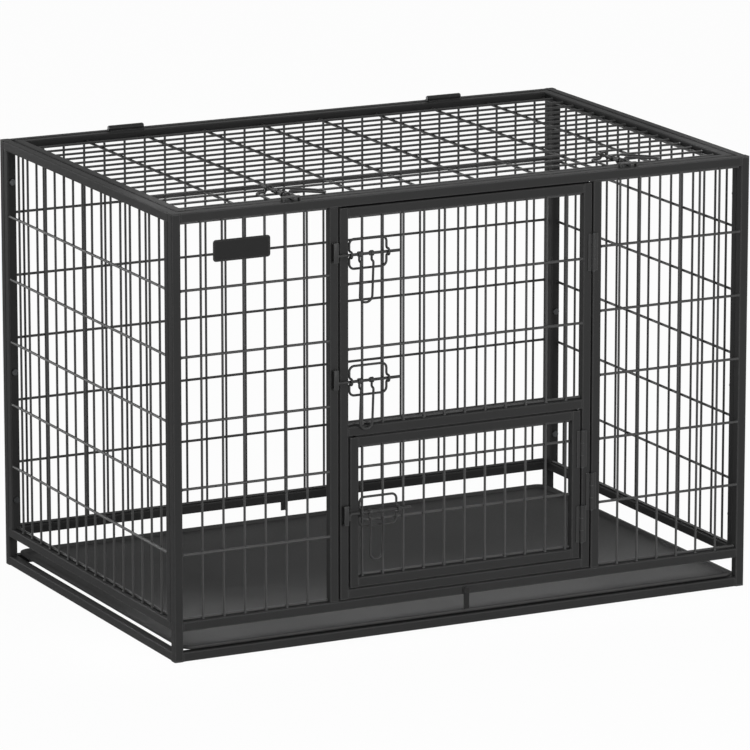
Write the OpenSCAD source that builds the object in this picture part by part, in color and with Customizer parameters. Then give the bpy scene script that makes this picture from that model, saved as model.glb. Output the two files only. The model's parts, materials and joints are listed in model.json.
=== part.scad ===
// Heavy duty dog crate of welded square tube and wire mesh, with a top lid, a front door,
// a feed door inside the front door, slide latches and a pull-out tray.
// Millimetres. Origin on the floor under the middle of the crate, front towards -Y, +Z up.

/* [Crate] */
// Width over the corner posts
crate_w = 1070; // [900:10:1240]
// Depth from the front face to the back face
crate_d = 700; // [600:10:800]
// Height of the corner posts
crate_h = 748; // [680:2:860]
// Height of the slot that the tray slides through
tray_slot = 35; // [32:1:60]

/* [Tubing] */
// Side of the square tubes
tube = 16; // [14:0.5:18]
// Wall of the square tubes
tube_wall = 1.2; // [1:0.1:2.5]
// Outside corner radius of the square tubes
tube_round = 2.5; // [1:0.25:3]
// Thickness of the caps on the ends of the corner posts
cap_t = 2; // [1:0.5:4]

/* [Mesh] */
// Diameter of the closely spaced wires
wire_d = 4; // [3:0.25:4.5]
// Diameter of the widely spaced cross wires
bar_d = 4.5; // [3:0.25:4.75]
// Spacing of the closely spaced wires
wire_pitch = 38.1; // [32:0.1:46]
// Spacing of the cross wires
bar_pitch = 109.5; // [95:0.25:130]
// Least room between a panel's first wire and its frame
wire_margin = 23.5; // [20:0.5:27]
// Depth of the closely spaced wires behind the outer face of the tubes
wire_depth = 7; // [6.8:0.1:8]

/* [Doors] */
// Width of the front door
door_w = 468; // [420:2:540]
// Gap around the door, the feed door and the lid
door_gap = 2.5; // [2:0.25:4]
// Height of the feed door
feed_h = 255; // [230:0.5:300]

/* [Hinges] */
// Length of a hinge barrel
hinge_len = 63; // [50:1:75]
// Diameter of the barrels on the door and the feed door
hinge_d = 6.4; // [5.6:0.1:7.6]
// Diameter of the barrels on the lid
lid_hinge_d = 9.4; // [8:0.2:11]
// Diameter of the hinge pins
hinge_pin_d = 3.2; // [2.6:0.1:3.6]
// Thickness of the hinge leaves
hinge_leaf_t = 1.9; // [1.2:0.1:2.4]

/* [Latches] */
// Diameter of the sliding bolts
bolt_d = 5; // [4:0.25:6]
// Length of a sliding bolt
bolt_len = 115.5; // [112:0.5:125]
// Diameter of the wire in the guides and handles
latch_wire_d = 4; // [3:0.25:4.5]
// Length of a guide between its two short sides
guide_len = 68; // [64:0.5:84]
// Height of a guide between its two long sides
guide_h = 49.6; // [44:0.2:56]
// Distance between the two legs of a handle
handle_w = 22.7; // [18:0.1:26]
// Length of a handle from its bolt to its end
handle_len = 81; // [70:1:84]
// How far a handle's legs step forward to clear the guide
handle_step = 7; // [5:0.5:8]
// Width of a keeper strap along the bolt
keeper_w = 8.5; // [6:0.5:9]
// Height of a keeper strap across the bolt
keeper_h = 33; // [30:1:40]
// Thickness of a keeper strap
keeper_t = 2.5; // [1.5:0.25:3]

/* [Tray] */
// Height of the tray's rim above its underside
tray_h = 8.5; // [8:0.5:14]
// Thickness of the tray
tray_t = 2.5; // [1.5:0.25:3]
// How far the tray's walls lean out
tray_flare = 4; // [2:0.5:9]
// Radius of the tray's corners at the rim
tray_corner = 22; // [20:1:50]
// Room between the tray and the corner posts
tray_side_gap = 2; // [1.5:0.5:12]
// How far the tray's rim reaches over the front floor rail
tray_seat = 14; // [12.5:0.5:14]
// How far the tray's rim reaches over the back floor rail
tray_back_seat = 8; // [7:0.5:14]

/* [Name plate] */
// Width of the bare name plate
plate_w = 102; // [60:1:120]
// Height of the bare name plate
plate_h = 36; // [24:1:50]
// Thickness of the name plate
plate_t = 1.5; // [0.8:0.1:2]
// Corner radius of the name plate
plate_round = 5; // [2:0.5:10]

/* [Hidden] */
$fn = 32;

coat = "#38393a";
zinc = "#8c8f92";
pan_grey = "#4a4b4c";

// Hair gap where two pieces are welded or seated face to face
weld_gap = 0.1;
// How deep two crossing wires sink into each other where they are welded
weld_sink = 0.35;
// Clearance between pieces that move past each other
move_gap = 0.3;
// Running clearance of a pin in its bore, on the radius
pin_fit = 0.05;
// How far a cut runs past the face that it opens
overrun = 1;
// Steps in the quarter circle at a tube's corner
round_steps = 4;

// Levels of the rails
floor_rail_z = tube / 2;
low_rail_z = tube + tray_slot + tube / 2;
top_rail_z = crate_h - tube / 2;
panel_lo = low_rail_z + tube / 2;
panel_hi = top_rail_z - tube / 2;
panel_h = panel_hi - panel_lo;

// Middle lines of the outer tubes
post_x = (crate_w - tube) / 2;
post_y = (crate_d - tube) / 2;
inner_x = crate_w / 2 - tube;
inner_y = crate_d / 2 - tube;
stile_y = inner_y - weld_gap - tube / 2;
side_clear = 2 * (stile_y - tube / 2);

// Front opening and door
jamb_in = door_w / 2 + door_gap;
jamb_x = jamb_in + tube / 2;
front_clear = inner_x - jamb_in - tube;
front_panel_x = (inner_x + jamb_in + tube) / 2;
door_lo = panel_lo + door_gap;
door_hi = panel_hi - door_gap;
door_h = door_hi - door_lo;
door_in = door_w / 2 - tube;
feed_w = 2 * (door_in - door_gap);
feed_lo = door_lo + tube + door_gap;
feed_hi = feed_lo + feed_h;
mid_rail_z = feed_hi + door_gap + tube / 2;
door_mesh_lo = mid_rail_z + tube / 2;
door_mesh_h = door_hi - tube - door_mesh_lo;
feed_in = feed_w / 2 - tube;
feed_mesh_lo = feed_lo + tube;
feed_mesh_h = feed_h - 2 * tube;

// Lid
lid_x = inner_x - door_gap;
lid_y = inner_y - door_gap;
lid_clear_x = 2 * (lid_x - tube);
lid_clear_y = 2 * (lid_y - tube);

// Mesh layers and rows
layer = (wire_d + bar_d) / 2 - weld_sink;
edge_row = bar_d / 2 + weld_gap;
row_room_share = 0.8;
wire_face = wire_depth - wire_d / 2;
front_rows = even_rows(panel_h);
door_rows = [for (k = [1:row_count(door_mesh_h)])
    let (z = door_mesh_h - edge_row - k * bar_pitch) if (z > edge_row + row_room_share * bar_pitch) z];
feed_row_share = 0.835;
feed_rows = [for (k = [1:row_count(feed_mesh_h)])
    let (z = edge_row + k * feed_row_share * bar_pitch) if (z < feed_mesh_h - edge_row - 2 * bar_d) z];
door_wires = wire_count(2 * door_in);

// Hinge places, as shares of the panel that they carry
door_hinge_shares = [0.2, 0.8225];
feed_hinge_shares = [0.23, 0.74];
lid_hinge_share = 0.574;
hinge_leaf_w = (tube + door_gap) / 2 - weld_gap;
hinge_stand = hinge_d / 2 + move_gap;
lid_hinge_stand = lid_hinge_d / 2 + move_gap;
knuckle_gap = 0.4;
pin_head_t = 1.2;
pin_head_share = 0.82;
door_axis_x = door_w / 2 + door_gap / 2;
feed_axis_x = feed_w / 2 + door_gap / 2;
lid_axis_y = lid_y + door_gap / 2;

// Latch: distances along the bolt are counted inward from the panel's free edge
bolt_out = bolt_d / 2 + move_gap;
keeper_near = -6;
bolt_tip = keeper_near + 2 * weld_gap + move_gap;
bolt_chamfer = 0.8;
hook_drop = 11;
guide_back = latch_wire_d / 2 + weld_gap - wire_face;
guide_near = tube + latch_wire_d / 2 + move_gap;
guide_bend = latch_wire_d;
guide_corner = 9;
hump_room = 0.5;
hump_half = bolt_d / 2 + hump_room + latch_wire_d / 2;
hump_top = bolt_out + hump_half;
handle_leg = 34;
handle_lean = 4;
lid_handle_lean = 8;
handle_bend_share = 0.45;
handle_neck = 5.5;
eye_wall = 2.2;
eye_lip = 0.3;
eye_sink_share = 0.33;
eye_w = latch_wire_d + 2 * eye_lip;
collar_w = 1.6;
collar_wall = 1.4;
keeper_room = 0.8;
keeper_low_share = 0.3;
feed_keeper_low_share = 0.54;
upper_latch_share = 0.452;
lower_latch_share = 0.5895;
feed_latch_share = 0.186;
lid_latch_share = 0.583;
door_row_hi = door_mesh_lo + door_rows[0];
door_row_lo = door_mesh_lo + door_rows[len(door_rows) - 1];
door_top_row = door_mesh_lo + door_mesh_h - edge_row;
upper_latch_z = door_row_hi + upper_latch_share * (door_top_row - door_row_hi);
lower_latch_z = door_mesh_lo + lower_latch_share * (door_row_lo - door_mesh_lo);
feed_latch_z = feed_mesh_lo + feed_rows[0] + feed_latch_share * feed_row_share * bar_pitch;
lid_latch_x = lid_latch_share * crate_w / 2;

// Bolts that hold the side frames to the corner posts
panel_bolt_d = 6;
panel_bolt_head_d = 11;
panel_bolt_head_t = 3.5;
panel_bolt_shares = [0.08, 0.42, 0.92];

// Tray tab and stop
tab_t = 2;
tab_head_d = 14;
tab_w = 10;
tab_drop_share = 0.71;
stop_drop_share = 0.55;
stud_d = 6;
stud_head_d = 10;
stud_head_t = 1.6;
tab_end_z = tube + tray_slot * (1 - tab_drop_share);
stop_end_z = tube + tray_slot * (1 - stop_drop_share);

// Name plate place on the front left mesh
plate_x_share = 0.087;
plate_z_share = 0.9213;

function row_count(h) = round(h / bar_pitch);

function even_rows(h) = [for (k = [1:row_count(h) - 1])
    edge_row + k * (h - 2 * edge_row) / row_count(h)];

function wire_count(w) = floor((w - 2 * wire_margin) / wire_pitch) + 1;

function quarter(x, y, r, start) = [for (i = [0:round_steps])
    [x + r * cos(start + 90 * i / round_steps), y + r * sin(start + 90 * i / round_steps)]];

function rounded(w, h, r) = concat(
    quarter(w / 2 - r, h / 2 - r, r, 0), quarter(r - w / 2, h / 2 - r, r, 90),
    quarter(r - w / 2, r - h / 2, r, 180), quarter(w / 2 - r, r - h / 2, r, 270));

// Square tube, run along one axis between two places
module tube_section() {
    difference() {
        polygon(rounded(tube, tube, tube_round));
        square(tube - 2 * tube_wall, center = true);
    }
}

module tube_x(x0, x1, y, z) {
    translate([x0 + weld_gap, y, z]) rotate([90, 0, 90])
        linear_extrude(x1 - x0 - 2 * weld_gap) tube_section();
}

module tube_y(y0, y1, x, z) {
    translate([x, y0 + weld_gap, z]) rotate([-90, 0, 0])
        linear_extrude(y1 - y0 - 2 * weld_gap) tube_section();
}

module tube_z(z0, z1, x, y) {
    translate([x, y, z0 + weld_gap]) linear_extrude(z1 - z0 - 2 * weld_gap) tube_section();
}

// Wire grid in a window: w wide along X, h high along Z, outer face of the tubes at y = 0
module wire_grid(w, h, wires, front, behind) {
    for (i = [0:wires - 1])
        translate([(i - (wires - 1) / 2) * wire_pitch, wire_depth, weld_gap])
            cylinder(d = wire_d, h = h - 2 * weld_gap);
    for (z = front) cross_wire(w, wire_depth - layer, z);
    for (z = behind) cross_wire(w, wire_depth + layer, z);
}

module cross_wire(w, depth, z) {
    translate([weld_gap - w / 2, depth, z]) rotate([0, 90, 0]) cylinder(d = bar_d, h = w - 2 * weld_gap);
}

module panel_grid(w) {
    wire_grid(w, panel_h, wire_count(w), front_rows, [edge_row, panel_h - edge_row]);
}

// Turns a shape made for the front face, outward -Y, onto the lid, outward +Z
module on_top() {
    rotate([-90, 0, 90]) children();
}

// Round wire bent along a list of moves: straight length, bend angle, roll before the bend, bend radius
module bent_wire(d, moves, i = 0) {
    m = moves[i];
    rotate([0, 0, m[2]]) {
        cylinder(d = d, h = m[0]);
        if (m[1] > 0)
            translate([m[3], 0, m[0]]) {
                rotate([90, 0, 180]) rotate_extrude(angle = m[1]) translate([m[3], 0]) circle(d = d);
                if (i + 1 < len(moves))
                    rotate([0, m[1], 0]) translate([-m[3], 0, 0]) bent_wire(d, moves, i + 1);
            }
    }
}

// Hinge about Z at the origin: fixed leaf towards +X, moving leaf towards -X, face of the tubes at y = stand
module leaf_plate(x0, x1, stand, len) {
    translate([x0, stand - weld_gap - hinge_leaf_t, -len / 2]) cube([x1 - x0, hinge_leaf_t, len]);
}

module knuckle_with_web(d, stand, len) {
    difference() {
        union() {
            cylinder(d = d, h = len, center = true);
            leaf_plate(0, d / 2 + 2 * move_gap, stand, len);
        }
        cylinder(d = hinge_pin_d + 2 * pin_fit, h = len + 2 * overrun, center = true);
    }
}

module fixed_leaf(d, stand) {
    part_len = hinge_len / 3 - knuckle_gap;
    leaf_plate(d / 2 + move_gap, hinge_leaf_w, stand, hinge_len - knuckle_gap);
    for (side = [-1, 1]) translate([0, 0, side * hinge_len / 3]) knuckle_with_web(d, stand, part_len);
}

module moving_leaf(d, stand) {
    mirror([1, 0, 0]) {
        leaf_plate(d / 2 + move_gap, hinge_leaf_w, stand, hinge_len - knuckle_gap);
        knuckle_with_web(d, stand, hinge_len / 3 - knuckle_gap);
    }
}

module hinge_pin(d) {
    head_z = hinge_len / 2 + weld_gap;
    cylinder(d = hinge_pin_d, h = 2 * head_z + pin_head_t, center = true);
    for (side = [0, 1]) mirror([0, 0, side])
        translate([0, 0, head_z]) cylinder(d = pin_head_share * d, h = pin_head_t);
}

module at_door_hinges() {
    for (share = door_hinge_shares)
        translate([door_axis_x, -crate_d / 2 - hinge_stand, door_lo + share * door_h]) children();
}

module at_feed_hinges() {
    for (share = feed_hinge_shares)
        translate([feed_axis_x, -crate_d / 2 - hinge_stand, feed_lo + share * feed_h]) children();
}

module at_lid_hinges() {
    for (side = [-1, 1])
        translate([side * lid_hinge_share * crate_w / 2, lid_axis_y, crate_h + lid_hinge_stand])
            on_top() children();
}

// Latch pieces: +X runs inward from the panel's free edge, outer face at y = 0, outward -Y, bolt at z = 0
module latch_guide() {
    side_run = guide_h / 2 - guide_corner - hump_half - guide_bend;
    rise = hump_top - guide_back - 2 * guide_bend;
    top_run = 2 * (hump_half - guide_bend);
    long_run = guide_len - 2 * guide_corner;
    half_turn = [
        [side_run, 90, 90, guide_bend], [rise, 90, 180, guide_bend], [top_run, 90, 0, guide_bend],
        [rise, 90, 180, guide_bend], [side_run, 90, -90, guide_corner]
    ];
    moves = concat([[long_run / 2, 90, 0, guide_corner]], half_turn,
        [[long_run, 90, 0, guide_corner]], half_turn, [[long_run / 2, 0, 0, guide_corner]]);
    translate([guide_near + guide_len / 2, -guide_back, -guide_h / 2]) rotate([0, 90, 0]) rotate([0, 0, 180])
        bent_wire(latch_wire_d, moves);
}

module bolt_rod(len) {
    tip_d = bolt_d - 2 * bolt_chamfer;
    rotate([0, 90, 0]) {
        cylinder(d1 = tip_d, d2 = bolt_d, h = bolt_chamfer);
        translate([0, 0, bolt_chamfer]) cylinder(d = bolt_d, h = len - 2 * bolt_chamfer);
        translate([0, 0, len - bolt_chamfer]) cylinder(d1 = bolt_d, d2 = tip_d, h = bolt_chamfer);
    }
}

module bolt_collars() {
    inset = eye_w / 2 + move_gap;
    for (along = [inset, handle_w - inset - collar_w])
        translate([handle_leg + along, -bolt_out, 0]) rotate([0, 90, 0])
            cylinder(d = bolt_d + 2 * collar_wall, h = collar_w);
}

module latch_bolt() {
    translate([bolt_tip, -bolt_out, 0]) bolt_rod(bolt_len);
    bolt_collars();
}

// Bolt whose tip is turned down
module hooked_bolt() {
    run = bolt_len - bolt_d / 2 - bolt_d;
    moves = [[run, 90, 0, bolt_d], [hook_drop - bolt_d, 0, 0, bolt_d]];
    translate([bolt_tip + bolt_len, -bolt_out, 0]) rotate([0, -90, 0]) rotate([0, 0, 180])
        bent_wire(bolt_d, moves);
    bolt_collars();
}

module half_handle() {
    bend = handle_bend_share * handle_step;
    start = bolt_d / 2 + pin_fit + eye_sink_share * eye_wall;
    leg = handle_len - start - handle_neck - 2 * bend - handle_w / 2;
    moves = [
        [handle_neck, 90, 0, bend], [handle_step - 2 * bend, 90, 180, bend], [leg, 90, 90, handle_w / 2]
    ];
    difference() {
        union() {
            rotate([0, 90, 0]) cylinder(d = bolt_d + 2 * (pin_fit + eye_wall), h = eye_w, center = true);
            translate([0, 0, -start]) rotate([180, 0, -90]) bent_wire(latch_wire_d, moves);
        }
        rotate([0, 90, 0]) cylinder(d = bolt_d + 2 * pin_fit, h = eye_w + 2 * overrun, center = true);
    }
}

module latch_handle(lean) {
    translate([handle_leg, -bolt_out, 0]) rotate([lean, 0, 0]) {
        half_handle();
        translate([handle_w, 0, 0]) mirror([1, 0, 0]) half_handle();
    }
}

// Strap that bridges the bolt in front of the tube it is welded to
module latch_keeper(low_share) {
    out = bolt_out + bolt_d / 2 + keeper_room + keeper_t;
    translate([keeper_near - keeper_w, -out, -low_share * keeper_h]) difference() {
        cube([keeper_w, out - weld_gap, keeper_h]);
        translate([-overrun, keeper_t, keeper_t])
            cube([keeper_w + 2 * overrun, out, keeper_h - 2 * keeper_t]);
    }
}

module at_door_latch(z) {
    translate([-door_w / 2, -crate_d / 2, z]) children();
}

module at_feed_latch() {
    translate([-feed_w / 2, -crate_d / 2, feed_latch_z]) children();
}

module at_lid_latch(side) {
    translate([side * lid_latch_x, -lid_y, crate_h]) on_top() children();
}

// Holes and bolts between side frames and posts
module at_panel_bolts() {
    for (sx = [-1, 1], sy = [0, 1], share = panel_bolt_shares)
        mirror([0, sy, 0]) translate([sx * post_x, -inner_y, panel_lo + share * panel_h])
            rotate([-90, 0, 0]) children();
}

module panel_bolt_holes() {
    at_panel_bolts()
        translate([0, 0, -tube_wall - overrun])
            cylinder(d = panel_bolt_d + 2 * weld_gap, h = tube + tube_wall + 2 * overrun);
}

// Frames
module front_frame() {
    color(coat) difference() {
        union() {
            for (side = [-1, 1]) {
                tube_z(cap_t, crate_h - cap_t, side * post_x, -post_y);
                tube_z(panel_lo, panel_hi, side * jamb_x, -post_y);
            }
            for (z = [floor_rail_z, low_rail_z, top_rail_z]) tube_x(-inner_x, inner_x, -post_y, z);
        }
        panel_bolt_holes();
    }
}

module back_frame() {
    color(coat) difference() {
        union() {
            for (side = [-1, 1]) tube_z(cap_t, crate_h - cap_t, side * post_x, post_y);
            for (z = [floor_rail_z, low_rail_z, top_rail_z]) tube_x(-inner_x, inner_x, post_y, z);
        }
        panel_bolt_holes();
    }
}

module side_frame(side) {
    difference() {
        union() {
            for (z = [low_rail_z, top_rail_z]) tube_y(-inner_y, inner_y, side * post_x, z);
            for (end = [-1, 1]) tube_z(panel_lo, panel_hi, side * post_x, end * stile_y);
        }
        panel_bolt_holes();
    }
}

module left_side_frame() {
    color(coat) side_frame(-1);
}

module right_side_frame() {
    color(coat) side_frame(1);
}

module floor_rails() {
    color(coat) for (side = [-1, 1]) tube_y(-inner_y, inner_y, side * post_x, floor_rail_z);
}

module post_caps() {
    color(coat) for (sx = [-1, 1], sy = [-1, 1], z = [0, crate_h - cap_t])
        translate([sx * post_x, sy * post_y, z])
            linear_extrude(cap_t) polygon(rounded(tube, tube, tube_round));
}

// Wire mesh of the fixed panels
module front_left_mesh() {
    color(coat) translate([-front_panel_x, -crate_d / 2, panel_lo]) panel_grid(front_clear);
}

module front_right_mesh() {
    color(coat) translate([front_panel_x, -crate_d / 2, panel_lo]) panel_grid(front_clear);
}

module back_mesh() {
    color(coat) translate([0, crate_d / 2, panel_lo]) rotate([0, 0, 180]) panel_grid(2 * inner_x);
}

module left_mesh() {
    color(coat) translate([-crate_w / 2, 0, panel_lo]) rotate([0, 0, -90]) panel_grid(side_clear);
}

module right_mesh() {
    color(coat) translate([crate_w / 2, 0, panel_lo]) rotate([0, 0, 90]) panel_grid(side_clear);
}

// Small fixed pieces
module panel_bolts() {
    color(zinc) at_panel_bolts() {
        translate([0, 0, -tube_wall - overrun])
            cylinder(d = panel_bolt_d, h = tube + tube_wall + 2 * overrun);
        translate([0, 0, tube + 2 * weld_gap]) cylinder(d = panel_bolt_head_d, h = panel_bolt_head_t);
    }
}

module name_plate() {
    x = -front_panel_x - plate_x_share * front_clear;
    z = panel_lo + plate_z_share * panel_h;
    color(coat) translate([x, wire_face - weld_gap - crate_d / 2, z]) rotate([90, 0, 0])
        linear_extrude(plate_t) polygon(rounded(plate_w, plate_h, plate_round));
}

module at_tab() {
    translate([0, -crate_d / 2, low_rail_z]) rotate([90, 0, 0]) children();
}

module tray_tab_stud() {
    color(zinc) at_tab() {
        translate([0, 0, weld_gap]) cylinder(d = stud_d, h = tab_t + 2 * move_gap);
        translate([0, 0, tab_t + 2 * move_gap]) cylinder(d = stud_head_d, h = stud_head_t);
    }
}

module rear_tray_stop() {
    color(coat) translate([-tab_w / 2, crate_d / 2 + weld_gap, stop_end_z])
        cube([tab_w, tab_t, panel_lo - stop_end_z]);
}

module tray_tab() {
    drop = low_rail_z - tab_end_z;
    color(coat) at_tab() translate([0, 0, move_gap]) linear_extrude(tab_t) difference() {
        union() {
            circle(d = tab_head_d);
            translate([0, -drop / 2]) square([tab_w, drop], center = true);
        }
        circle(d = stud_d + 2 * pin_fit);
    }
}

// Lid
module lid_frame() {
    color(coat) {
        for (side = [-1, 1]) tube_y(-lid_y, lid_y, side * (lid_x - tube / 2), top_rail_z);
        for (end = [-1, 1]) tube_x(tube - lid_x, lid_x - tube, end * (lid_y - tube / 2), top_rail_z);
    }
}

module lid_mesh() {
    rows = concat([edge_row], even_rows(lid_clear_x), [lid_clear_x - edge_row]);
    color(coat) translate([lid_clear_x / 2, 0, crate_h]) on_top()
        wire_grid(lid_clear_y, lid_clear_x, wire_count(lid_clear_y), [], rows);
}

module lid_hinge_rail_leaves() {
    color(coat) at_lid_hinges() fixed_leaf(lid_hinge_d, lid_hinge_stand);
}

module lid_hinge_lid_leaves() {
    color(coat) at_lid_hinges() moving_leaf(lid_hinge_d, lid_hinge_stand);
}

module lid_hinge_pins() {
    color(zinc) at_lid_hinges() hinge_pin(lid_hinge_d);
}

module lid_keepers() {
    color(coat) for (side = [-1, 1]) at_lid_latch(side) latch_keeper(keeper_low_share);
}

module lid_left_guide() {
    color(coat) at_lid_latch(-1) latch_guide();
}

module lid_right_guide() {
    color(coat) at_lid_latch(1) latch_guide();
}

module lid_left_bolt() {
    color(coat) at_lid_latch(-1) latch_bolt();
}

module lid_right_bolt() {
    color(coat) at_lid_latch(1) latch_bolt();
}

module lid_left_handle() {
    color(coat) at_lid_latch(-1) latch_handle(lid_handle_lean);
}

module lid_right_handle() {
    color(coat) at_lid_latch(1) latch_handle(lid_handle_lean);
}

// Front door
module door_frame() {
    color(coat) {
        for (side = [-1, 1]) tube_z(door_lo, door_hi, side * (door_w - tube) / 2, -post_y);
        for (z = [door_lo + tube / 2, mid_rail_z, door_hi - tube / 2]) tube_x(-door_in, door_in, -post_y, z);
    }
}

module door_mesh() {
    color(coat) translate([0, -crate_d / 2, door_mesh_lo])
        wire_grid(2 * door_in, door_mesh_h, door_wires, door_rows, [edge_row, door_mesh_h - edge_row]);
}

module door_hinge_jamb_leaves() {
    color(coat) at_door_hinges() fixed_leaf(hinge_d, hinge_stand);
}

module door_hinge_door_leaves() {
    color(coat) at_door_hinges() moving_leaf(hinge_d, hinge_stand);
}

module door_hinge_pins() {
    color(zinc) at_door_hinges() hinge_pin(hinge_d);
}

module door_keepers() {
    color(coat) for (z = [upper_latch_z, lower_latch_z]) at_door_latch(z) latch_keeper(keeper_low_share);
}

module door_upper_guide() {
    color(coat) at_door_latch(upper_latch_z) latch_guide();
}

module door_lower_guide() {
    color(coat) at_door_latch(lower_latch_z) latch_guide();
}

module door_upper_bolt() {
    color(coat) at_door_latch(upper_latch_z) latch_bolt();
}

module door_lower_bolt() {
    color(coat) at_door_latch(lower_latch_z) latch_bolt();
}

module door_upper_handle() {
    color(coat) at_door_latch(upper_latch_z) latch_handle(handle_lean);
}

module door_lower_handle() {
    color(coat) at_door_latch(lower_latch_z) latch_handle(handle_lean);
}

// Feed door
module feed_frame() {
    color(coat) {
        for (side = [-1, 1]) tube_z(feed_lo, feed_hi, side * (feed_w - tube) / 2, -post_y);
        for (z = [feed_lo + tube / 2, feed_hi - tube / 2]) tube_x(-feed_in, feed_in, -post_y, z);
    }
}

module feed_mesh() {
    color(coat) translate([0, -crate_d / 2, feed_mesh_lo])
        wire_grid(2 * feed_in, feed_mesh_h, door_wires, [],
            concat([edge_row], feed_rows, [feed_mesh_h - edge_row]));
}

module feed_hinge_stile_leaves() {
    color(coat) at_feed_hinges() fixed_leaf(hinge_d, hinge_stand);
}

module feed_hinge_feed_leaves() {
    color(coat) at_feed_hinges() moving_leaf(hinge_d, hinge_stand);
}

module feed_hinge_pins() {
    color(zinc) at_feed_hinges() hinge_pin(hinge_d);
}

module feed_keeper() {
    color(coat) at_feed_latch() latch_keeper(feed_keeper_low_share);
}

module feed_guide() {
    color(coat) at_feed_latch() latch_guide();
}

module feed_bolt() {
    color(coat) at_feed_latch() hooked_bolt();
}

module feed_handle() {
    color(coat) at_feed_latch() latch_handle(handle_lean);
}

// Tray: low pan with leaning walls and round corners
module tray_block(w, d, h, r_low, r_high) {
    hull() for (sx = [-1, 1], sy = [-1, 1])
        translate([sx * (w / 2 - r_high), sy * (d / 2 - r_high), 0]) cylinder(r1 = r_low, r2 = r_high, h = h);
}

module tray() {
    w = crate_w - 2 * (tube + tray_side_gap);
    d = crate_d - 2 * tube + tray_seat + tray_back_seat;
    lean = tray_flare * tray_t / tray_h;
    color(pan_grey) translate([0, (tray_back_seat - tray_seat) / 2, tube + weld_gap]) difference() {
        tray_block(w, d, tray_h, tray_corner - tray_flare, tray_corner);
        translate([0, 0, tray_t])
            tray_block(w - 2 * tray_t, d - 2 * tray_t, tray_h,
                tray_corner - tray_flare - tray_t + lean, tray_corner + lean - tray_t);
    }
}

front_frame();
back_frame();
left_side_frame();
right_side_frame();
floor_rails();
post_caps();
front_left_mesh();
front_right_mesh();
back_mesh();
left_mesh();
right_mesh();
panel_bolts();
name_plate();
tray_tab_stud();
rear_tray_stop();
lid_hinge_rail_leaves();
lid_hinge_pins();
lid_keepers();
door_hinge_jamb_leaves();
door_hinge_pins();
door_keepers();
lid_frame();
lid_mesh();
lid_hinge_lid_leaves();
lid_left_guide();
lid_right_guide();
door_frame();
door_mesh();
door_hinge_door_leaves();
door_upper_guide();
door_lower_guide();
feed_hinge_stile_leaves();
feed_hinge_pins();
feed_keeper();
feed_frame();
feed_mesh();
feed_hinge_feed_leaves();
feed_guide();
lid_left_bolt();
lid_right_bolt();
door_upper_bolt();
door_lower_bolt();
feed_bolt();
lid_left_handle();
lid_right_handle();
door_upper_handle();
door_lower_handle();
feed_handle();
tray();
tray_tab();
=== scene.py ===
"""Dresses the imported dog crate: powder-coated steel, welds, a moulded tray and a bare name plate."""

import json
import math

import bmesh
import bpy
from mathutils import Euler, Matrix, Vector

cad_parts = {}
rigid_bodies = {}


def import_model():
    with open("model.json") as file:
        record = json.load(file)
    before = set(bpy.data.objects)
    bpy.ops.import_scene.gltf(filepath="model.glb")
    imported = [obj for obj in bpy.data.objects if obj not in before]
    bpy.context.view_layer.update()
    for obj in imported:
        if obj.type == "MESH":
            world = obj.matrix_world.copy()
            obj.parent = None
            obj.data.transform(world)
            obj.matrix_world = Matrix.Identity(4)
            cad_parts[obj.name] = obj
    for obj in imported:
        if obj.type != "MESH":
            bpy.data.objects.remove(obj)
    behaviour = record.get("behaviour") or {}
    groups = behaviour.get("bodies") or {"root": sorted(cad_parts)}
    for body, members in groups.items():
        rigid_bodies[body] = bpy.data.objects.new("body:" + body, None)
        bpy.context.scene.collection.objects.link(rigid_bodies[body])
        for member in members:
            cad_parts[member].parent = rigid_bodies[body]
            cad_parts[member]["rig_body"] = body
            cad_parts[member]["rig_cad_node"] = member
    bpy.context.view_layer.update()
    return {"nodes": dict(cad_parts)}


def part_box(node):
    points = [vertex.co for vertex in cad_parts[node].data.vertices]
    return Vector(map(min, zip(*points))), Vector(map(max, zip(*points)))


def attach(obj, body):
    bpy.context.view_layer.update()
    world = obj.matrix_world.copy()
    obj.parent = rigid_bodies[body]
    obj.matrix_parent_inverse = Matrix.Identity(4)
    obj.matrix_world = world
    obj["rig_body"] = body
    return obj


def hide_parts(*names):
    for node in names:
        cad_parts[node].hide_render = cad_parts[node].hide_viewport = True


for leftover in list(bpy.data.objects):
    bpy.data.objects.remove(leftover)

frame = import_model()

MM = 0.001

# Sizes that the crate is built to, in millimetres
CRATE_W, CRATE_D, CRATE_H = 1070, 700, 748
TUBE, TUBE_ROUND = 16, 2.5
TRAY_SLOT = 35
DOOR_W, DOOR_GAP, FEED_H = 468, 2.5, 255
WIRE_D, BAR_D = 4, 4.5
WIRE_PITCH, BAR_PITCH = 38.1, 109.5
FEED_ROW_PITCH = 0.835 * BAR_PITCH
WIRE_DEPTH = 7
WELD_GAP, WELD_SINK = 0.1, 0.35

# Middle lines and ends of the tubes
POST_X, POST_Y = (CRATE_W - TUBE) / 2, (CRATE_D - TUBE) / 2
RAIL_END_X, RAIL_END_Y = CRATE_W / 2 - TUBE, CRATE_D / 2 - TUBE
STILE_Y = RAIL_END_Y - WELD_GAP - TUBE / 2
FLOOR_RAIL_Z, LOW_RAIL_Z, TOP_RAIL_Z = TUBE / 2, TUBE + TRAY_SLOT + TUBE / 2, CRATE_H - TUBE / 2
PANEL_LOW, PANEL_HIGH = LOW_RAIL_Z + TUBE / 2, TOP_RAIL_Z - TUBE / 2
JAMB_X = DOOR_W / 2 + DOOR_GAP + TUBE / 2
FRONT_CLEAR = RAIL_END_X - JAMB_X - TUBE / 2
FRONT_MIDDLE = (RAIL_END_X + JAMB_X + TUBE / 2) / 2
DOOR_LOW, DOOR_HIGH, DOOR_IN = PANEL_LOW + DOOR_GAP, PANEL_HIGH - DOOR_GAP, DOOR_W / 2 - TUBE
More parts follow.
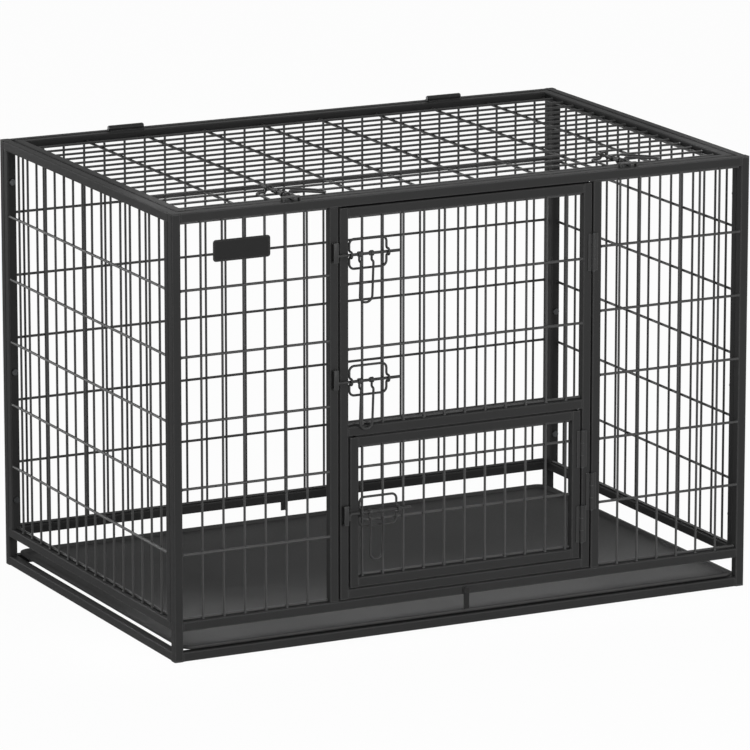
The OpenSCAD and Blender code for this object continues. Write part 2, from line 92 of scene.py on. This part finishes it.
FEED_LOW = DOOR_LOW + TUBE + DOOR_GAP
FEED_HIGH, FEED_IN = FEED_LOW + FEED_H, DOOR_IN - DOOR_GAP - TUBE
MID_RAIL_Z = FEED_HIGH + DOOR_GAP + TUBE / 2
LID_IN_X, LID_IN_Y = RAIL_END_X - DOOR_GAP - TUBE, RAIL_END_Y - DOOR_GAP - TUBE

# Layers and rows of the mesh
LAYER = (WIRE_D + BAR_D) / 2 - WELD_SINK
EDGE_ROW = BAR_D / 2 + WELD_GAP
FRONT_WIRES, BACK_WIRES, SIDE_WIRES, DOOR_WIRES = 6, 27, 16, 11
PANEL_SPACES, LID_SPACES = 6, 9


def linear(hex_colour):
    """An sRGB hex colour as linear red, green, blue and alpha."""
    channels = [int(hex_colour[i:i + 2], 16) / 255 for i in (1, 3, 5)]
    return tuple(c / 12.92 if c <= 0.04045 else ((c + 0.055) / 1.055) ** 2.4 for c in channels) + (1.0,)


def add_node(tree, kind, inputs=None, **settings):
    """Adds a node with its settings, its input values and its links."""
    made = tree.nodes.new(kind)
    for name, value in settings.items():
        setattr(made, name, value)
    for name, value in (inputs or {}).items():
        if isinstance(value, bpy.types.NodeSocket):
            tree.links.new(value, made.inputs[name])
        else:
            made.inputs[name].default_value = value
    return made


def empty_material(name):
    material = bpy.data.materials.new(name)
    material.use_nodes = True
    material.node_tree.nodes.clear()
    return material, material.node_tree


# Materials


def powder_coat(name, dark, light, edge_highlight, smooth, rough, peel_mm, peel_height_mm, shine):
    """Polyester powder baked on steel: matte, with orange peel and a cloudy tone, and a painted highlight: a
    paler colour along its edges.
    """
    material, tree = empty_material(name)
    place = add_node(tree, "ShaderNodeTexCoord").outputs["Object"]
    cloud = add_node(tree, "ShaderNodeTexNoise", {"Vector": place, "Scale": 1 / (140 * MM), "Detail": 3})
    peel = add_node(tree, "ShaderNodeTexNoise", {
        "Vector": place, "Scale": 1 / (peel_mm * MM), "Detail": 2, "Roughness": 0.6})
    tone = add_node(tree, "ShaderNodeMix", {0: cloud.outputs[0], 6: linear(dark), 7: linear(light)},
                    data_type="RGBA")
    # Painted highlight: where the rounded normal turns away from the face normal, the paler edge colour is
    # mixed in
    eased = add_node(tree, "ShaderNodeBevel", {"Radius": 1.8 * MM}, samples=4)
    facing = add_node(tree, "ShaderNodeNewGeometry").outputs["Normal"]
    turn = add_node(tree, "ShaderNodeVectorMath", {0: eased.outputs["Normal"], 1: facing},
                    operation="DOT_PRODUCT")
    edge_highlight_mask = add_node(tree, "ShaderNodeMapRange", {
        "Value": turn.outputs["Value"], "From Min": 0.995, "From Max": 0.93})
    edge_highlighted_tone = add_node(tree, "ShaderNodeMix", {
        0: edge_highlight_mask.outputs["Result"], 6: tone.outputs[2], 7: linear(edge_highlight)}, data_type="RGBA")
    gloss = add_node(tree, "ShaderNodeMapRange", {
        "Value": peel.outputs[0], "From Min": 0.3, "From Max": 0.7, "To Min": smooth, "To Max": rough})
    relief = add_node(tree, "ShaderNodeBump", {
        "Height": peel.outputs[0], "Strength": 0.5, "Distance": peel_height_mm * MM})
    coat = add_node(tree, "ShaderNodeBsdfPrincipled", {
        "Base Color": edge_highlighted_tone.outputs[2], "Roughness": gloss.outputs["Result"],
        "Normal": relief.outputs["Normal"], "IOR": 1.5, "Specular IOR Level": shine})
    add_node(tree, "ShaderNodeOutputMaterial", {"Surface": coat.outputs["BSDF"]})
    return material


def zinc_plate(name):
    """Black zinc on turned steel: a dark metal with fine turning lines and cloudy passivation."""
    material, tree = empty_material(name)
    place = add_node(tree, "ShaderNodeTexCoord").outputs["Object"]
    cloud = add_node(tree, "ShaderNodeTexNoise", {"Vector": place, "Scale": 1 / (4 * MM), "Detail": 3})
    tone = add_node(tree, "ShaderNodeMix", {
        0: cloud.outputs[0], 6: linear("#38393a"), 7: linear("#48494a")}, data_type="RGBA")
    gloss = add_node(tree, "ShaderNodeMapRange", {
        "Value": cloud.outputs[0], "From Min": 0.3, "From Max": 0.7, "To Min": 0.32, "To Max": 0.5})
    lines = add_node(tree, "ShaderNodeTexNoise", {"Vector": place, "Scale": 1 / (0.8 * MM), "Detail": 1})
    relief = add_node(tree, "ShaderNodeBump", {
        "Height": lines.outputs[0], "Strength": 0.3, "Distance": 0.03 * MM})
    metal = add_node(tree, "ShaderNodeBsdfPrincipled", {
        "Base Color": tone.outputs[2], "Metallic": 1.0, "Roughness": gloss.outputs["Result"],
        "Normal": relief.outputs["Normal"]})
    add_node(tree, "ShaderNodeOutputMaterial", {"Surface": metal.outputs["BSDF"]})
    return material


def moulded_tray(name):
    """ABS sheet drawn into a mould: charcoal plastic with a leather-like grain and faint flow clouds."""
    material, tree = empty_material(name)
    place = add_node(tree, "ShaderNodeTexCoord").outputs["Object"]
    flow = add_node(tree, "ShaderNodeTexNoise", {"Vector": place, "Scale": 1 / (220 * MM), "Detail": 2})
    grain = add_node(tree, "ShaderNodeTexVoronoi", {"Vector": place, "Scale": 1 / (2.4 * MM)},
                     feature="SMOOTH_F1")
    tone = add_node(tree, "ShaderNodeMix", {
        0: flow.outputs[0], 6: linear("#454545"), 7: linear("#4d4d4d")}, data_type="RGBA")
    gloss = add_node(tree, "ShaderNodeMapRange", {
        "Value": grain.outputs[0], "From Min": 0.1, "From Max": 0.8, "To Min": 0.6, "To Max": 0.72})
    relief = add_node(tree, "ShaderNodeBump", {
        "Height": grain.outputs[0], "Strength": 0.4, "Distance": 0.12 * MM})
    plastic = add_node(tree, "ShaderNodeBsdfPrincipled", {
        "Base Color": tone.outputs[2], "Roughness": gloss.outputs["Result"],
        "Normal": relief.outputs["Normal"], "IOR": 1.5, "Specular IOR Level": 0.025})
    add_node(tree, "ShaderNodeOutputMaterial", {"Surface": plastic.outputs["BSDF"]})
    return material


# The edge colour of each coat is a painted highlight along its rounded edges
# The real peel is about 1 mm across; it is drawn coarser so that it still shows in the render
tube_coat = powder_coat("charcoal_powder_coat_on_tube", dark="#2d2d2d", light="#333333", edge_highlight="#505050",
                        smooth=0.5, rough=0.62, peel_mm=3, peel_height_mm=0.06, shine=0.05)
# The wire coat is painted paler than the tube coat, a painted highlight for the light that the thin round
# wires catch
wire_coat = powder_coat("charcoal_powder_coat_on_wire", dark="#3a3a3a", light="#424242", edge_highlight="#464646",
                        smooth=0.36, rough=0.48, peel_mm=2, peel_height_mm=0.04, shine=0.2)
latch_coat = powder_coat("charcoal_powder_coat_on_latches", dark="#2e2e2e", light="#353535", edge_highlight="#4c4c4c",
                         smooth=0.38, rough=0.5, peel_mm=2, peel_height_mm=0.04, shine=0.14)
tab_coat = powder_coat("black_powder_coat_on_tab", dark="#202020", light="#262626", edge_highlight="#343434",
                       smooth=0.4, rough=0.52, peel_mm=2, peel_height_mm=0.04, shine=0.1)
plate_coat = powder_coat("satin_black_enamel", dark="#131313", light="#171717", edge_highlight="#3c3c3c",
                         smooth=0.4, rough=0.5, peel_mm=1.5, peel_height_mm=0.02, shine=0.1)
pin_zinc = zinc_plate("black_zinc_plated_steel")
tray_abs = moulded_tray("moulded_abs")


# Modelling helpers

# Faces that meet at less than this many degrees shade as one curve
SMOOTH_ANGLE = 35


def start_clean():
    if bpy.context.object and bpy.context.object.mode != "OBJECT":
        bpy.ops.object.mode_set(mode="OBJECT")
    bpy.ops.object.select_all(action="DESELECT")


def pick(kind, wanted):
    """In edit mode, selects only the edges or faces for which wanted is true."""
    bpy.ops.mesh.select_mode(type={"edges": "EDGE", "faces": "FACE"}[kind])
    bpy.ops.mesh.select_all(action="DESELECT")
    mesh = bmesh.from_edit_mesh(bpy.context.object.data)
    for element in getattr(mesh, kind):
        if wanted(element):
            element.select_set(True)
    mesh.select_flush_mode()
    bmesh.update_edit_mesh(bpy.context.object.data)


def flat_sheet(name, width, height, centre, corner, steps):
    """A sheet facing up with round corners, left in edit mode with its face selected. Millimetres."""
    start_clean()
    bpy.ops.mesh.primitive_plane_add(size=1, location=Vector(centre) * MM)
    sheet = bpy.context.object
    sheet.name = name
    sheet.scale = (width * MM, height * MM, 1)
    bpy.ops.object.transform_apply(location=True, rotation=True, scale=True)
    bpy.ops.object.mode_set(mode="EDIT")
    bpy.ops.mesh.select_all(action="SELECT")
    bpy.ops.mesh.bevel(offset=corner * MM, segments=steps, affect="VERTICES")
    bpy.ops.mesh.select_mode(type="FACE")
    bpy.ops.mesh.select_all(action="SELECT")
    return sheet


def finish_piece(piece, material, body, replaced=()):
    """Closes a piece: outward faces, smooth curves, place in its mesh, its finish and its body."""
    start_clean()
    bpy.context.view_layer.objects.active = piece
    piece.select_set(True)
    bpy.ops.object.transform_apply(location=True, rotation=True, scale=True)
    bpy.ops.object.mode_set(mode="EDIT")
    bpy.ops.mesh.select_all(action="SELECT")
    bpy.ops.mesh.normals_make_consistent(inside=False)
    bpy.ops.object.mode_set(mode="OBJECT")
    bpy.ops.object.shade_smooth_by_angle(angle=math.radians(SMOOTH_ANGLE))
    piece.data.materials.clear()
    piece.data.materials.append(material)
    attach(piece, body)
    if replaced:
        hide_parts(*replaced)
    piece.select_set(False)
    return piece


def copies_joined(model, name, places):
    """Copies of a model, one at each (place in millimetres, turn), each with its own mesh, joined."""
    copies = []
    for place, turn in places:
        copy = model.copy()
        copy.data = model.data.copy()
        copy.location = Vector(place) * MM
        copy.rotation_euler = turn
        bpy.context.scene.collection.objects.link(copy)
        copies.append(copy)
    start_clean()
    for copy in copies:
        copy.select_set(True)
    bpy.context.view_layer.objects.active = copies[0]
    bpy.ops.object.transform_apply(location=True, rotation=True, scale=True)
    bpy.ops.object.join()
    copies[0].name = name
    return copies[0]


# Tray: rolled rim, leaning wall, gutter at its foot and a slightly raised floor


def make_tray():
    low, high = (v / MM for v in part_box("tray"))
    width, depth, height = high - low
    middle = (low + high) / 2
    lip, lip_drop, side_foot, end_foot = 4, 2.5, 5, 18
    flat_width, flat_depth = width - 2 * lip, depth - 2 * lip
    tray = flat_sheet("tray_pan", flat_width, flat_depth, (middle.x, middle.y, high.z), 22 - lip, 8)
    for inward, rise in ((0.6, 0), (0.5, -0.4), (2.2, -4), (1.2, -0.9), (4, 0), (2.5, 0.6)):
        bpy.ops.mesh.inset(thickness=inward * MM, depth=rise * MM)
    # From the rim the wall swells out to the lip in a quarter of an ellipse, and rolls under in another
    turns = [math.radians(a) for a in (22.5, 45, 67.5, 90)]
    profile = [(lip * math.sin(a), lip * math.sin(a), lip_drop * (1 - math.cos(a))) for a in turns]
    profile += [(lip - side_foot * (1 - math.cos(a)), lip - end_foot * (1 - math.cos(a)),
                 lip_drop + (height - lip_drop) * math.sin(a)) for a in turns]
    pick("edges", lambda e: e.is_boundary)
    side = along = drop = 0
    for next_side, next_along, next_drop in profile:
        bpy.ops.mesh.extrude_region_move(TRANSFORM_OT_translate={"value": (0, 0, (drop - next_drop) * MM)})
        wider = (flat_width + 2 * next_side) / (flat_width + 2 * side)
        deeper = (flat_depth + 2 * next_along) / (flat_depth + 2 * along)
        bpy.ops.transform.resize(value=(wider, deeper, 1), center_override=(middle.x * MM, middle.y * MM, 0))
        side, along, drop = next_side, next_along, next_drop
    bpy.ops.mesh.edge_face_add()
    return finish_piece(tray, tray_abs, "tray", ["tray"])


# Name plate: an enamelled plate with a raised border, left bare


def make_plate():
    low, high = (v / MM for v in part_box("name_plate"))
    width, height, thick = high.x - low.x, high.z - low.z, high.y - low.y
    plate = flat_sheet("name_plate_bare", width, height, (0, 0, 0), 5, 5)
    bpy.ops.mesh.extrude_region_move(TRANSFORM_OT_translate={"value": (0, 0, thick * MM)})
    pick("faces", lambda f: f.normal.z > 0.9 and f.calc_center_median().z > thick / 2 * MM)
    for inward, rise in ((0.35, 0.0), (1.6, 0), (0.3, -0.35)):
        bpy.ops.mesh.inset(thickness=inward * MM, depth=rise * MM)
    bpy.ops.object.mode_set(mode="OBJECT")
    plate.rotation_euler = (math.radians(90), 0, 0)
    plate.location = ((low.x + high.x) / 2 * MM, high.y * MM, (low.z + high.z) / 2 * MM)
    return finish_piece(plate, plate_coat, "frame", ["name_plate"])


# Welds on the tubes: a low band round each joint, ground nearly flush


def bead_model():
    bead = flat_sheet("bead", TUBE - 0.1, TUBE - 0.1, (0, 0, -1.8), TUBE_ROUND, 4)
    for rise, spread in ((1.1, 0.45), (1.4, 0), (1.1, -0.45)):
        bpy.ops.mesh.extrude_region_move(TRANSFORM_OT_translate={"value": (0, 0, rise * MM)})
        share = 1 + spread / TUBE
        bpy.ops.transform.resize(value=(share, share, 1))
    bpy.ops.object.mode_set(mode="OBJECT")
    return bead


ALONG_X, ALONG_Y, ALONG_Z = (0, math.pi / 2, 0), (math.pi / 2, 0, 0), (0, 0, 0)
SIDES = (-1, 1)

frame_joints = (
    [((s * RAIL_END_X, e * POST_Y, z), ALONG_X)
     for s in SIDES for e in SIDES for z in (FLOOR_RAIL_Z, LOW_RAIL_Z, TOP_RAIL_Z)]
    + [((s * JAMB_X, -POST_Y, z), ALONG_Z) for s in SIDES for z in (PANEL_LOW, PANEL_HIGH)]
    + [((s * POST_X, e * STILE_Y, z), ALONG_Z) for s in SIDES for e in SIDES for z in (PANEL_LOW, PANEL_HIGH)]
    + [((s * POST_X, e * RAIL_END_Y, FLOOR_RAIL_Z), ALONG_Y) for s in SIDES for e in SIDES])
lid_joints = [((s * LID_IN_X, e * (LID_IN_Y + TUBE / 2), TOP_RAIL_Z), ALONG_X) for s in SIDES for e in SIDES]
door_joints = [((s * DOOR_IN, -POST_Y, z), ALONG_X)
               for s in SIDES for z in (DOOR_LOW + TUBE / 2, MID_RAIL_Z, DOOR_HIGH - TUBE / 2)]
feed_joints = [((s * FEED_IN, -POST_Y, z), ALONG_X)
               for s in SIDES for z in (FEED_LOW + TUBE / 2, FEED_HIGH - TUBE / 2)]


# Welds on the wires: a flattened nugget where a wire's end meets its frame


def nugget_model():
    start_clean()
    bpy.ops.mesh.primitive_uv_sphere_add(segments=10, ring_count=6, radius=1)
    nugget = bpy.context.object
    bpy.ops.object.mode_set(mode="EDIT")
    bpy.ops.mesh.select_all(action="SELECT")
    bpy.ops.mesh.bisect(plane_co=(0, 0, 0), plane_no=(0, 0, 1), clear_inner=True, use_fill=True)
    bpy.ops.mesh.select_all(action="SELECT")
    bpy.ops.transform.resize(value=(2.9 * MM, 2.9 * MM, 3.2 * MM), center_override=(0, 0, 0))
    bpy.ops.object.mode_set(mode="OBJECT")
    return nugget


def even_rows(height, count):
    return [EDGE_ROW + k * (height - 2 * EDGE_ROW) / count for k in range(1, count)]


def wire_ends(width, height, wires, front, behind):
    """Ends of a panel's wires as (across, depth, up), way: from the panel's foot and its middle."""
    ends = []
    for i in range(wires):
        across = (i - (wires - 1) / 2) * WIRE_PITCH
        ends += [((across, WIRE_DEPTH, WELD_GAP), "up"), ((across, WIRE_DEPTH, height - WELD_GAP), "down")]
    for rows, depth in ((front, WIRE_DEPTH - LAYER), (behind, WIRE_DEPTH + LAYER)):
        for up in rows:
            ends += [((-width / 2 + WELD_GAP, depth, up), "right"),
                     ((width / 2 - WELD_GAP, depth, up), "left")]
    return ends


def upright_panel(centre, turn, width, height, wires, front, behind):
    """Nugget places for a standing panel, turned about Z so that its outer face looks outward."""
    lean = {"up": (0, 0, 0), "down": (math.pi, 0, 0),
            "right": (0, math.pi / 2, 0), "left": (0, -math.pi / 2, 0)}
    places = []
    for (across, depth, up), way in wire_ends(width, height, wires, front, behind):
        spot = Vector((across, depth, up))
        spot.rotate(Euler((0, 0, turn)))
        pose = Euler(lean[way])
        pose.rotate(Euler((0, 0, turn)))
        places.append((Vector(centre) + spot, pose))
    return places


panel_height = PANEL_HIGH - PANEL_LOW
panel_rows = even_rows(panel_height, PANEL_SPACES)
panel_edges = [EDGE_ROW, panel_height - EDGE_ROW]
front, back, side = -CRATE_D / 2, CRATE_D / 2, CRATE_W / 2
side_clear = 2 * (STILE_Y - TUBE / 2)
frame_wires = []
for middle, turn, width, wires in (((-FRONT_MIDDLE, front), 0, FRONT_CLEAR, FRONT_WIRES),
                                   ((FRONT_MIDDLE, front), 0, FRONT_CLEAR, FRONT_WIRES),
                                   ((0, back), math.pi, 2 * RAIL_END_X, BACK_WIRES),
                                   ((-side, 0), -math.pi / 2, side_clear, SIDE_WIRES),
                                   ((side, 0), math.pi / 2, side_clear, SIDE_WIRES)):
    frame_wires += upright_panel((*middle, PANEL_LOW), turn, width, panel_height, wires,
                                 panel_rows, panel_edges)

door_mesh_low = MID_RAIL_Z + TUBE / 2
door_mesh_height = DOOR_HIGH - TUBE - door_mesh_low
door_top_row = door_mesh_height - EDGE_ROW
door_wires = upright_panel((0, front, door_mesh_low), 0, 2 * DOOR_IN, door_mesh_height, DOOR_WIRES,
                           [door_top_row - BAR_PITCH, door_top_row - 2 * BAR_PITCH], [EDGE_ROW, door_top_row])

feed_mesh_height = FEED_H - 2 * TUBE
feed_rows = [EDGE_ROW + k * FEED_ROW_PITCH for k in range(3)] + [feed_mesh_height - EDGE_ROW]
feed_wires = upright_panel((0, front, FEED_LOW + TUBE), 0, 2 * FEED_IN, feed_mesh_height,
                           DOOR_WIRES, [], feed_rows)

lid_wires = []
lid_end_x, lid_end_y = LID_IN_X - WELD_GAP, LID_IN_Y - WELD_GAP
wire_z, bar_z = CRATE_H - WIRE_DEPTH, CRATE_H - WIRE_DEPTH - LAYER
for i in range(SIDE_WIRES):
    y = (i - (SIDE_WIRES - 1) / 2) * WIRE_PITCH
    lid_wires += [((-lid_end_x, y, wire_z), (0, math.pi / 2, 0)),
                  ((lid_end_x, y, wire_z), (0, -math.pi / 2, 0))]
for row in [EDGE_ROW] + even_rows(2 * LID_IN_X, LID_SPACES) + [2 * LID_IN_X - EDGE_ROW]:
    x = row - LID_IN_X
    lid_wires += [((x, -lid_end_y, bar_z), (-math.pi / 2, 0, 0)),
                  ((x, lid_end_y, bar_z), (math.pi / 2, 0, 0))]


def soften(node, name, width, material, body):
    """A copy of a plain CAD node with its sharp edges rounded."""
    start_clean()
    source = frame["nodes"][node]
    copy = source.copy()
    copy.data = source.data.copy()
    copy.name = name
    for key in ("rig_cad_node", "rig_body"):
        if key in copy:
            del copy[key]
    copy.parent = None
    bpy.context.scene.collection.objects.link(copy)
    bpy.context.view_layer.objects.active = copy
    copy.select_set(True)
    bpy.ops.object.mode_set(mode="EDIT")
    bpy.ops.mesh.select_all(action="SELECT")
    bpy.ops.mesh.customdata_custom_splitnormals_clear()
    bpy.ops.mesh.remove_doubles(threshold=0.005 * MM)
    bpy.ops.mesh.dissolve_limited(angle_limit=math.radians(1))
    bpy.ops.object.mode_set(mode="OBJECT")
    rounding = copy.modifiers.new("rounding", "BEVEL")
    rounding.width = width * MM
    rounding.segments = 3
    rounding.limit_method = "ANGLE"
    rounding.angle_limit = math.radians(50)
    bpy.ops.object.modifier_apply(modifier=rounding.name)
    return finish_piece(copy, material, body, [node])


make_tray()
make_plate()

bead = bead_model()
nugget = nugget_model()
for body, joints, wires in (("frame", frame_joints, frame_wires), ("lid", lid_joints, lid_wires),
                            ("door", door_joints, door_wires), ("feed_door", feed_joints, feed_wires)):
    finish_piece(copies_joined(bead, body + "_tube_welds", joints), tube_coat, body)
    finish_piece(copies_joined(nugget, body + "_wire_welds", wires), wire_coat, body)
for model in (bead, nugget):
    bpy.data.objects.remove(model)

for node, body in (("lid_keepers", "frame"), ("door_keepers", "frame"), ("feed_keeper", "door")):
    soften(node, node + "_rounded", 0.7, latch_coat, body)
soften("rear_tray_stop", "rear_tray_stop_rounded", 0.5, latch_coat, "frame")
soften("tray_tab", "tray_tab_rounded", 0.4, tab_coat, "tray_tab")

# Finishes of the CAD nodes that stay
for node, piece in frame["nodes"].items():
    if node.endswith("_mesh"):
        finish = wire_coat
    elif node.endswith(("_guide", "_bolt", "_handle")) or "_leaves" in node:
        finish = latch_coat
    elif node.endswith("_pins") or node == "panel_bolts":
        finish = pin_zinc
    elif node == "tray_tab_stud":
        finish = tab_coat
    else:
        finish = tube_coat
    for slot in piece.material_slots:
        slot.material = finish


# Studio: white floor that keeps a soft shadow, even light from the world, and five lamps


def seen_directly(tree):
    """1 for camera, glossy and transmission rays, else 0."""
    path = add_node(tree, "ShaderNodeLightPath")
    either = add_node(tree, "ShaderNodeMath", {
        0: path.outputs["Is Camera Ray"], 1: path.outputs["Is Glossy Ray"]}, operation="MAXIMUM")
    return add_node(tree, "ShaderNodeMath", {0: either.outputs[0], 1: path.outputs["Is Transmission Ray"]},
                    operation="MAXIMUM").outputs[0]


def make_floor():
    start_clean()
    bpy.ops.mesh.primitive_plane_add(size=60, location=(0, 0, -0.4 * MM))
    floor = bpy.context.object
    floor.name = "studio_floor"
    material, tree = empty_material("white_studio_floor")
    share = add_node(tree, "ShaderNodeMath", {0: seen_directly(tree), 1: 0.97}, operation="MULTIPLY")
    paper = add_node(tree, "ShaderNodeBsdfDiffuse", {"Color": linear("#dcdcdc")})
    glow = add_node(tree, "ShaderNodeEmission", {"Color": (1, 1, 1, 1), "Strength": 1.0})
    both = add_node(tree, "ShaderNodeMixShader", {
        0: share.outputs[0], 1: paper.outputs[0], 2: glow.outputs[0]})
    add_node(tree, "ShaderNodeOutputMaterial", {"Surface": both.outputs[0]})
    floor.data.materials.append(material)


def make_world(level):
    world = bpy.data.worlds.new("studio")
    world.use_nodes = True
    tree = world.node_tree
    tree.nodes.clear()
    strength = add_node(tree, "ShaderNodeMapRange", {
        "Value": seen_directly(tree), "To Min": level, "To Max": 1.0})
    sky = add_node(tree, "ShaderNodeBackground", {
        "Color": (1, 1, 1, 1), "Strength": strength.outputs["Result"]})
    add_node(tree, "ShaderNodeOutputWorld", {"Surface": sky.outputs[0]})
    bpy.context.scene.world = world


def add_lamp(name, place, aim, size, power, depth=None, spread=180):
    """An area lamp: place, aim and size in metres, power in watts, spread in degrees."""
    lamp = bpy.data.objects.new(name, bpy.data.lights.new(name, "AREA"))
    lamp.data.shape = "RECTANGLE"
    lamp.data.size, lamp.data.size_y = size, depth or size
    lamp.data.spread = math.radians(spread)
    lamp.data.energy = power
    lamp.location = place
    lamp.rotation_euler = (Vector(aim) - Vector(place)).to_track_quat("-Z", "Y").to_euler()
    bpy.context.scene.collection.objects.link(lamp)


make_floor()
make_world(0.3)
# Key from the low front, a gridded strip softbox over the front edge, and lamps for the other sides
add_lamp("key", (0.5, -3.1, 0.85), aim=(0, -0.1, 0.2), size=0.9, power=50)
add_lamp("strip", (-0.05, -0.26, 1.9), aim=(-0.05, -0.25, 0), size=1.2, power=1.0, depth=0.15, spread=15)
add_lamp("side", (-4.4, -2.1, 0.5), aim=(0, 0, 0.35), size=0.6, power=34)
add_lamp("back_fill", (-1.4, 4.6, 0.8), aim=(0, 0, 0.35), size=1.2, power=52)
add_lamp("right_fill", (4.4, 0.4, 0.8), aim=(0, 0, 0.35), size=1.2, power=40)

lens = bpy.data.cameras.new("photo_view")
lens.sensor_width = 36
lens.lens = 286.785
lens.clip_end = 100
camera = bpy.data.objects.new("photo_view", lens)
camera.location = (-4.44761, -8.87849, 2.71136)
camera.rotation_euler = (math.radians(90 - 13.3633), 0, math.radians(-26.6366))
bpy.context.scene.collection.objects.link(camera)
bpy.context.scene.camera = camera
bpy.context.scene.view_settings.view_transform = "Standard"
